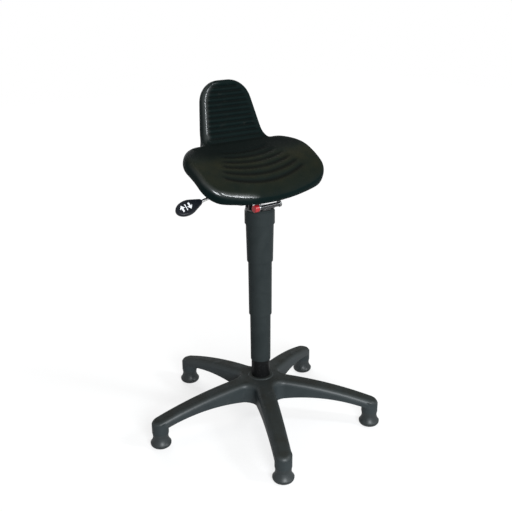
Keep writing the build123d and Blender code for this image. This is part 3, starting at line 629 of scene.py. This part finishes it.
skin = finish("seat_skin", Specular_IOR_Level=0.03, Coat_Roughness=0.25)
skin_place = place_on(skin.tree)
valley, polished, dust_and_back_shade = (
    put(skin.tree, "ShaderNodeAttribute", attribute_name=mask).outputs["Fac"]
    for mask in ("valley", "polished", "dust_and_back_shade")
)
skin_cloud = noise(skin.tree, skin_place, scale=12.0, detail=5.0, Distortion=0.8)
skin_tone = span(skin.tree, skin_cloud, 0.3, 0.7)
skin_wear = use_effect(skin.tree, rubbed, Scuff_Size=55.0, Scuff_Share=0.35)
skin.colour = tint(skin.tree, skin_tone, (0.0012, 0.0046, 0.0045, 1), (0.0024, 0.0066, 0.0064, 1))
# Brown dust on upward faces, thinned towards the back as painted shade.
lay_over(skin, times(skin.tree, skin_wear["Dust"], dust_and_back_shade), share=0.40, colour=(0.0290, 0.0248, 0.0098, 1))
# Painted shade: the rib valleys and the crook are darkened almost to black.
lay_over(skin, valley, share=0.75, colour=(0.0010, 0.0014, 0.0013, 1))
lay_over(skin, skin_wear["Scuff"], colour=(0.030, 0.028, 0.024, 1))
skin_gloss = span(skin.tree, polished, 0.0, 1.0, 0.55, 0.24)
skin_gloss = sums(skin.tree, "ADD", skin_gloss, span(skin.tree, skin_cloud, 0.3, 0.7, -0.03, 0.05))
feed(skin.tree, skin.shader, Roughness=skin_gloss, Coat_Weight=polished)

hide_cells = put(
    skin.tree,
    "ShaderNodeTexVoronoi",
    {"Vector": skin_place, "Scale": 520.0, "Randomness": 0.9},
    feature="DISTANCE_TO_EDGE",
).outputs["Distance"]
hide_creases = noise(skin.tree, skin_place, scale=240.0, detail=4.0)
hide = sums(skin.tree, "ADD", span(skin.tree, hide_cells, 0.0, 0.25, 0.0, 0.6), times(skin.tree, hide_creases, 0.4))
worn_flat = span(skin.tree, polished, 0.0, 1.0, 1.0, 0.06)
roughen(skin, times(skin.tree, hide, worn_flat), depth=0.0003, strength=0.35)
seat_mesh.materials.clear()
seat_mesh.materials.append(skin.material)
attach(seat, "seat")
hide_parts("seat_pad")

# Height lever: a bent bar of plated steel turns on a pin in the fork, and a flat drop-shaped paddle of black
# plastic is pressed on its end. Use leaves a few pale scuffs on the paddle.

grip = moulded_finish(
    "paddle_plastic",
    fineness=900.0,
    flow=45.0,
    tones=((0.0035, 0.0045, 0.0075, 1), (0.0065, 0.0080, 0.0120, 1)),
    gloss=(0.3, 0.45),
    Specular_IOR_Level=0.15,
)
grip_wear = use_effect(grip.tree, rubbed, Scuff_Size=140.0, Scuff_Share=0.5)
lay_over(grip, grip_wear["Scuff"], colour=(0.06, 0.06, 0.064, 1))
roughen(grip, grip.height, depth=0.0001, strength=0.3)
dress(zinc, "lever_rod")
dress(grip, "lever_paddle")

# Height sign: two white arrows and a bar, moulded in white plastic and pressed a little way into the paddle's
# broad face, to say that the lever moves the seat up and down.

paddle_neck = Vector((-0.118, 0.024, 0.657))
paddle_tip = Vector((-0.195, 0.032, 0.6353))
paddle_slant = radians(-45)
paddle_half = 0.0065
sign_proud = 0.0004
sign_sunk = 0.0006
sign_height = sign_proud + sign_sunk
sign_edge = 0.00015
arrow_up_place = -0.0070
arrow_down_place = 0.0130
bar_place = 0.0030
bar_width = 0.0022
bar_length = 0.017
arrow_outline = [
    (-0.0022, -0.0085),
    (0.0022, -0.0085),
    (0.0022, 0.0),
    (0.0068, 0.0),
    (0.0, 0.0092),
    (-0.0068, 0.0),
    (-0.0022, 0.0),
]

paddle_out = (paddle_tip - paddle_neck).normalized()
paddle_face = (Vector((0, 0, 1)) - paddle_out * paddle_out.z).normalized()
paddle_across = paddle_face.cross(paddle_out)
paddle_place = Matrix((paddle_out, paddle_across, paddle_face)).transposed().to_4x4()
paddle_place = Matrix.Translation(paddle_tip) @ paddle_place @ Matrix.Rotation(paddle_slant, 4, "X")


def sign_arrow(shape, middle, turn):
    """Draw one arrow, give it its thickness, turn it and set it in its place."""
    corners = [shape.verts.new((x, y, 0)) for x, y in arrow_outline]
    front = shape.faces.new(corners)
    grown = bmesh.ops.extrude_face_region(shape, geom=[front])["geom"]
    raised = [part for part in grown if isinstance(part, bmesh.types.BMVert)]
    bmesh.ops.translate(shape, verts=raised, vec=(0, 0, sign_height))
    bmesh.ops.rotate(shape, verts=corners + raised, cent=(0, 0, 0), matrix=Matrix.Rotation(turn, 3, "Z"))
    bmesh.ops.translate(shape, verts=corners + raised, vec=(middle, 0, paddle_half - sign_sunk))


sign_shape = bmesh.new()
sign_arrow(sign_shape, arrow_up_place, 0.0)
sign_arrow(sign_shape, arrow_down_place, pi)
bar = bmesh.ops.create_cube(sign_shape, size=1.0)["verts"]
bmesh.ops.scale(sign_shape, verts=bar, vec=(bar_width, bar_length, sign_height))
bmesh.ops.translate(sign_shape, verts=bar, vec=(bar_place, 0, paddle_half + (sign_proud - sign_sunk) / 2))
sign_rims = [e for e in sign_shape.edges if all(v.co.z > paddle_half for v in e.verts)]
bmesh.ops.bevel(sign_shape, geom=sign_rims, offset=sign_edge, segments=2, profile=0.5, affect="EDGES", material=-1)
bmesh.ops.recalc_face_normals(sign_shape, faces=sign_shape.faces)
bmesh.ops.transform(sign_shape, matrix=paddle_place, verts=sign_shape.verts)
sign_mesh = bpy.data.meshes.new("height_sign")
sign_shape.to_mesh(sign_mesh)
sign_shape.free()
sign = bpy.data.objects.new("height_sign", sign_mesh)
bpy.context.scene.collection.objects.link(sign)

sign_white = moulded_finish(
    "sign_white",
    fineness=1500.0,
    flow=160.0,
    tones=((0.74, 0.75, 0.78, 1), (0.83, 0.84, 0.86, 1)),
    gloss=(0.35, 0.5),
    Specular_IOR_Level=0.5,
)
sign_wear = use_effect(sign_white.tree, rubbed, Scuff_Size=420.0, Scuff_Share=0.7)
lay_over(sign_white, sign_wear["Scuff"], colour=(0.3, 0.3, 0.31, 1))
sign_mesh.materials.append(sign_white.material)
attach(sign, "lever")

# Studio: a plain white floor and surround, a large soft lamp low in front, a small one high at the right that gives
# the rims their shine, a weak warm one overhead and one behind. The camera stands where the photograph was taken from.

floor_shape = bmesh.new()
bmesh.ops.create_grid(floor_shape, x_segments=1, y_segments=1, size=6.0)
floor_mesh = bpy.data.meshes.new("studio_floor")
floor_shape.to_mesh(floor_mesh)
floor_shape.free()
floor = bpy.data.objects.new("studio_floor", floor_mesh)
bpy.context.scene.collection.objects.link(floor)


def seen_rays(tree):
    """One for rays from the camera, mirrors and glass, nought for the light that falls on the object."""
    path = put(tree, "ShaderNodeLightPath")
    plain = sums(tree, "MAXIMUM", path.outputs["Is Camera Ray"], path.outputs["Is Glossy Ray"])
    return sums(tree, "MAXIMUM", plain, path.outputs["Is Transmission Ray"])


def mix_shaders(tree, share, first, second):
    """Let a share of the second shader show over the first."""
    return put(tree, "ShaderNodeMixShader", {0: share, 1: first.outputs[0], 2: second.outputs[0]}).outputs[0]


paper = bpy.data.materials.new("floor_paper")
paper.use_nodes = True
paper_tree = paper.node_tree
paper_tree.nodes.clear()
paper_seen = seen_rays(paper_tree)
paper_colour = tint(paper_tree, paper_seen, (0.2, 0.2, 0.2, 1), (0.9, 0.9, 0.9, 1))
paper_shade = put(paper_tree, "ShaderNodeBsdfDiffuse", {"Color": paper_colour})
paper_white = put(paper_tree, "ShaderNodeEmission", {"Color": (1, 1, 1, 1), "Strength": 1.03})
from_middle = put(paper_tree, "ShaderNodeVectorMath", {0: place_on(paper_tree)}, operation="LENGTH").outputs["Value"]
paper_share = times(paper_tree, paper_seen, span(paper_tree, from_middle, 0.35, 1.1, 0.72, 1.0))
paper_mix = mix_shaders(paper_tree, paper_share, paper_shade, paper_white)
put(paper_tree, "ShaderNodeOutputMaterial", {"Surface": paper_mix})
floor_mesh.materials.append(paper)

surround = bpy.data.worlds.new("studio_surround")
surround.use_nodes = True
surround_tree = surround.node_tree
surround_tree.nodes.clear()
surround_light = put(surround_tree, "ShaderNodeBackground", {"Color": (0.95, 0.97, 1.0, 1), "Strength": 0.15})
surround_white = put(surround_tree, "ShaderNodeBackground", {"Color": (1, 1, 1, 1), "Strength": 1.0})
surround_mix = mix_shaders(surround_tree, seen_rays(surround_tree), surround_light, surround_white)
put(surround_tree, "ShaderNodeOutputWorld", {"Surface": surround_mix})
bpy.context.scene.world = surround


def soft_lamp(name, place, aim, width, height, watts, colour):
    """Hang one soft lamp and turn its face to the point it lights."""
    lamp = bpy.data.lights.new(name, "AREA")
    lamp.shape = "RECTANGLE"
    lamp.size = width
    lamp.size_y = height
    lamp.energy = watts
    lamp.color = colour
    hung = bpy.data.objects.new(name, lamp)
    hung.location = place
    hung.rotation_euler = (Vector(aim) - Vector(place)).to_track_quat("-Z", "Y").to_euler()
    bpy.context.scene.collection.objects.link(hung)


cool = (0.93, 0.97, 1.0)
daylight = (0.95, 0.97, 1.0)
warm = (1.0, 0.93, 0.82)
soft_lamp("front_lamp", (-0.8, -2.1, 1.05), aim=(0, 0, 0.4), width=0.9, height=0.6, watts=75, colour=cool)
soft_lamp("right_lamp", (1.09, -1.66, 1.70), aim=(0, 0, 0.6), width=0.25, height=0.5, watts=26, colour=cool)
soft_lamp("rear_lamp", (0.6, 2.3, 1.3), aim=(0, 0, 0.5), width=2.0, height=1.6, watts=36, colour=daylight)
soft_lamp("overhead_lamp", (0.2, 0.4, 2.6), aim=(0, 0, 0.3), width=1.2, height=1.2, watts=12, colour=warm)

camera_place = (-1.1060, -1.5222, 1.1554)
camera_heading = radians(-35.687)
camera_tilt = radians(70.203)
camera_roll = radians(-0.4925)
camera_data = bpy.data.cameras.new("photo_camera")
camera_data.sensor_width = 36.0
camera_data.lens = 53.96
camera = bpy.data.objects.new("photo_camera", camera_data)
camera.matrix_world = (
    Matrix.Translation(camera_place)
    @ Matrix.Rotation(camera_heading, 4, "Z")
    @ Matrix.Rotation(camera_tilt, 4, "X")
    @ Matrix.Rotation(camera_roll, 4, "Z")
)
bpy.context.scene.collection.objects.link(camera)
bpy.context.scene.camera = camera
bpy.context.scene.view_settings.view_transform = "Standard"
